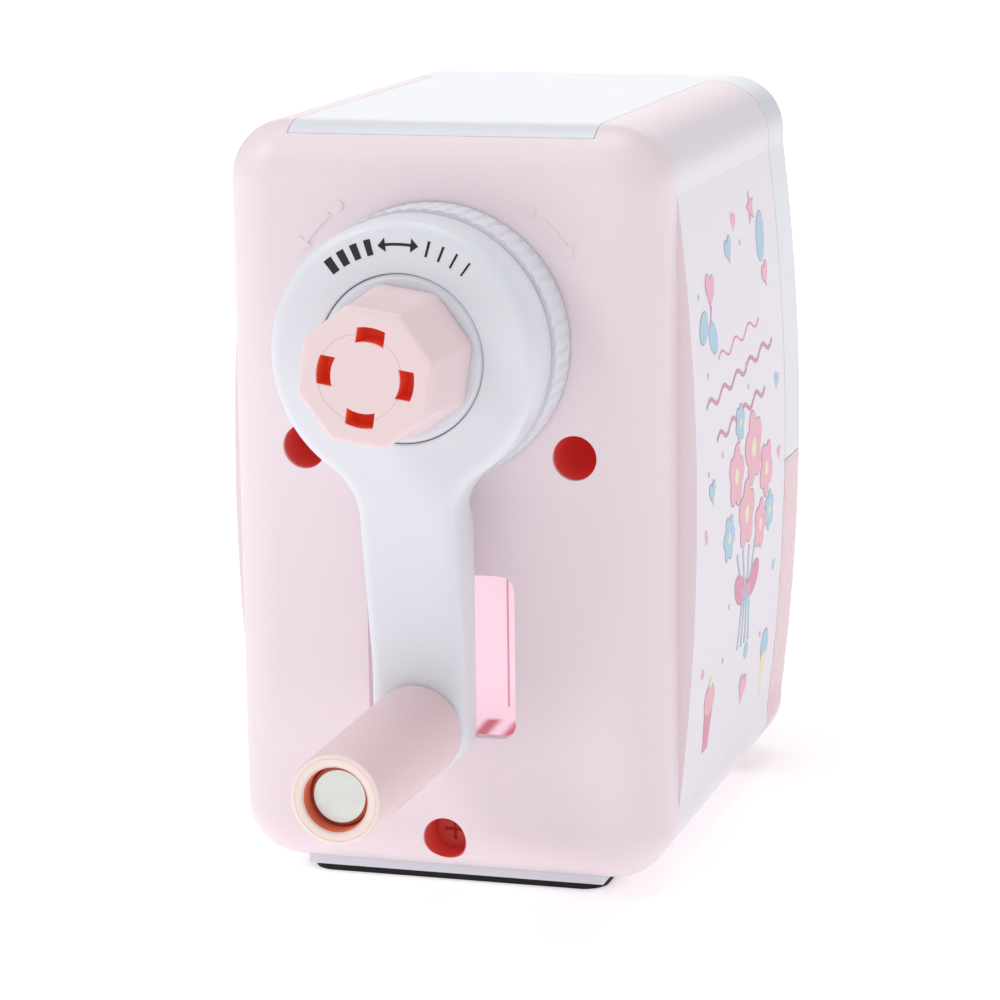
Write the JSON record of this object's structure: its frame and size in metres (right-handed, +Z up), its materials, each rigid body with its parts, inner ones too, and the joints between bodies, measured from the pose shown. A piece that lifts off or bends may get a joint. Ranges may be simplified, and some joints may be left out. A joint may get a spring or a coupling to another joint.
{
  "type": "pencil sharpener",
  "caption": "Hand-cranked desktop pencil sharpener: rounded pink case, white crank with pink grip, sprung pencil chuck, see-through shavings drawer",
  "frame": {"origin": "centre of the anti-slip pad's underside, on the table", "axes": "+Z up; the crank side faces -Y and the pencil goes in from +Y along the crank axis; +X is to the right of someone facing the crank"},
  "size_m": [0.0782, 0.1635, 0.124],
  "materials": {
    "pink_shell": "satin-gloss injection-moulded ABS, pale pink",
    "white_plastic": "satin-gloss injection-moulded ABS, cool white",
    "black_rubber": "matt die-cut EVA or rubber",
    "frame_plastic": "matt moulded ABS, light grey",
    "gear_plastic": "natural acetal",
    "zinc_screw": "zinc-plated steel",
    "spring_steel": "drawn spring steel",
    "polished_steel": "ground steel rod",
    "pin_metal": "dull nickel-plated steel",
    "cutter_steel": "hardened and ground tool steel",
    "pale_pink": "satin moulded ABS, warm pale pink",
    "clear_pink": "transparent pink polystyrene",
    "soft_grip": "soft pink elastomer"
  },
  "bodies": {
    "housing": {"front_shell": "pink_shell", "top_rear_cover": "white_plastic", "base_plate": "white_plastic", "anti_slip_pad": "black_rubber", "inner_frame": "frame_plastic", "ring_gear": "gear_plastic", "case_screws": "zinc_screw", "cover_screws": "zinc_screw", "rod_bushes": "gear_plastic", "pencil_guide": "gear_plastic", "right_return_spring": "spring_steel", "left_return_spring": "spring_steel"},
    "lock_ring": {"lock_ring": "white_plastic"},
    "crank": {"crank_arm": "white_plastic", "hub_cap": "white_plastic", "hub_screws": "zinc_screw", "cutter_carrier": "frame_plastic", "cutter_axle": "polished_steel", "axle_washers": "polished_steel", "grip_pin": "pin_metal"},
    "cutter": {"helical_cutter": "cutter_steel", "cutter_pinion": "cutter_steel"},
    "grip": {"grip": "pale_pink"},
    "knob": {"adjuster_knob": "pale_pink", "adjuster_spindle": "polished_steel"},
    "tip_stop": {"tip_stop": "frame_plastic"},
    "drawer": {"shavings_drawer": "clear_pink"},
    "chuck": {"chuck_plate": "white_plastic", "jaw_cover": "pink_shell", "chuck_screws": "zinc_screw", "guide_rods": "polished_steel", "rod_clips": "zinc_screw", "jaw_pivots": "polished_steel", "jaw_spring": "spring_steel"},
    "right_lever": {"right_jaw": "pale_pink", "right_jaw_pad": "soft_grip"},
    "left_lever": {"left_jaw": "pale_pink", "left_jaw_pad": "soft_grip"}
  },
  "joints": [
    {"name": "crank_turn", "type": "hinge", "parent": "housing", "child": "crank", "pos_m": [0, 0, 0.09025], "axis": [0, 1, 0], "continuous": true},
    {"name": "cutter_spin", "type": "hinge", "parent": "crank", "child": "cutter", "pos_m": [0, -0.0263, 0.09775], "axis": [0, 0.9848, 0.1736], "continuous": true},
    {"name": "grip_spin", "type": "hinge", "parent": "crank", "child": "grip", "pos_m": [0, -0.082, 0.03025], "axis": [0, 1, 0], "continuous": true},
    {"name": "knob_turn", "type": "hinge", "parent": "crank", "child": "knob", "pos_m": [0, -0.069, 0.09025], "axis": [0, 1, 0], "range_deg": [-150, 150]},
    {"name": "tip_stop_slide", "type": "slide", "parent": "crank", "child": "tip_stop", "axis": [0, -1, 0], "range_m": [-0.00126, 0.00126]},
    {"name": "lock_ring_turn", "type": "hinge", "parent": "housing", "child": "lock_ring", "pos_m": [0, -0.049, 0.09025], "axis": [0, -1, 0], "range_deg": [0, 40]},
    {"name": "drawer_slide", "type": "slide", "parent": "housing", "child": "drawer", "axis": [0, 1, 0], "range_m": [0, 0.078]},
    {"name": "chuck_slide", "type": "slide", "parent": "housing", "child": "chuck", "axis": [0, 1, 0], "range_m": [0, 0.03], "stiffness_N_per_m": 120, "springref_m": -0.01, "deforming": ["right_return_spring", "left_return_spring"]},
    {"name": "right_jaw_pinch", "type": "hinge", "parent": "chuck", "child": "right_lever", "pos_m": [0.009, 0.0561, 0.101], "axis": [0, -1, 0], "range_deg": [0, 15], "stiffness_Nm_per_rad": 0.05, "springref_deg": -11.46, "deforming": ["jaw_spring"]},
    {"name": "left_jaw_pinch", "type": "hinge", "parent": "chuck", "child": "left_lever", "pos_m": [-0.009, 0.0561, 0.101], "axis": [0, 1, 0], "range_deg": [0, 15], "stiffness_Nm_per_rad": 0.05, "springref_deg": -11.46}
  ],
  "couplings": [
    {"joint": "cutter_spin", "follows": "crank_turn", "ratio": -3},
    {"joint": "tip_stop_slide", "follows": "knob_turn", "m_per_rad": 0.00047746},
    {"joint": "left_jaw_pinch", "follows": "right_jaw_pinch", "ratio": 1}
  ]
}
